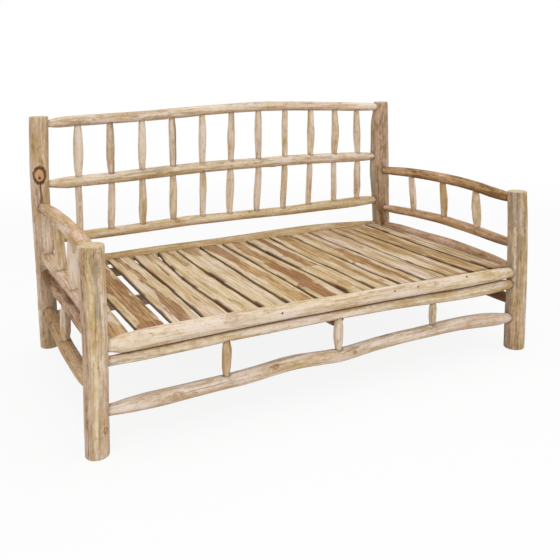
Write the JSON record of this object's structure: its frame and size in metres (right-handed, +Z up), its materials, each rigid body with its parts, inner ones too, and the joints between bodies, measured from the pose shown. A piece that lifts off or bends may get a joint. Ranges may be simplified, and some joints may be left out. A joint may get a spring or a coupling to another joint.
{
  "type": "rustic log bench",
  "caption": "Long rustic daybed bench of peeled branches: round posts, tenoned rails and logs, spindled back and arms, and a deep seat of split wooden slats.",
  "frame": {"origin": "on the floor, below the middle of the bench", "axes": "+X along the bench to its right end as seen from the front, +Y from the front to the back, +Z up"},
  "size_m": [2.0069, 1.1524, 1.1165],
  "materials": {
    "post_wood": "peeled, hand-sanded, unsealed, with grey-green weathered streaks",
    "rail_wood": "peeled, hand-sanded, unsealed",
    "arm_wood": "peeled, hand-sanded, warm tan",
    "seat_log_wood": "peeled and smoothed, pale",
    "spindle_wood": "peeled, ends whittled to tenons",
    "slat_wood": "sawn and sanded boards with brown heartwood and pale sapwood edges",
    "screw_steel": "dull, slightly rusted"
  },
  "bodies": {
    "root": {"post_front_left": "post_wood", "post_front_right": "post_wood", "post_back_left": "post_wood", "post_back_right": "post_wood", "top_rail": "rail_wood", "middle_rail": "rail_wood", "lower_back_rail": "rail_wood", "front_lower_log": "rail_wood", "front_stretcher": "rail_wood", "back_lower_log": "rail_wood", "back_stretcher": "rail_wood", "lower_arm_rail_left": "rail_wood", "lower_arm_rail_right": "rail_wood", "side_seat_rail_left": "rail_wood", "side_seat_rail_right": "rail_wood", "side_stretcher_left": "rail_wood", "side_stretcher_right": "rail_wood", "cross_bearer": "rail_wood", "arm_rail_left": "arm_wood", "arm_rail_right": "arm_wood", "front_seat_log": "seat_log_wood", "back_seat_log": "seat_log_wood", "back_spindles_01": "spindle_wood", "back_spindles_02": "spindle_wood", "back_spindles_03": "spindle_wood", "back_spindles_04": "spindle_wood", "back_spindles_05": "spindle_wood", "back_spindles_06": "spindle_wood", "back_spindles_07": "spindle_wood", "back_spindles_08": "spindle_wood", "back_spindles_09": "spindle_wood", "back_spindles_10": "spindle_wood", "back_spindles_11": "spindle_wood", "front_short_spindles": "spindle_wood", "back_short_spindles": "spindle_wood", "side_short_spindle_left": "spindle_wood", "side_short_spindle_right": "spindle_wood", "arm_spindle_left_1": "spindle_wood", "arm_spindle_left_2": "spindle_wood", "arm_spindle_left_3": "spindle_wood", "arm_spindle_right_1": "spindle_wood", "arm_spindle_right_2": "spindle_wood", "arm_spindle_right_3": "spindle_wood", "seat_slat_01": "slat_wood", "seat_slat_02": "slat_wood", "seat_slat_03": "slat_wood", "seat_slat_04": "slat_wood", "seat_slat_05": "slat_wood", "seat_slat_06": "slat_wood", "seat_slat_07": "slat_wood", "seat_slat_08": "slat_wood", "seat_slat_09": "slat_wood", "seat_slat_10": "slat_wood", "seat_slat_11": "slat_wood", "seat_slat_12": "slat_wood", "seat_slat_13": "slat_wood", "seat_slat_14": "slat_wood", "seat_slat_15": "slat_wood", "seat_screws": "screw_steel"}
  },
  "joints": []
}
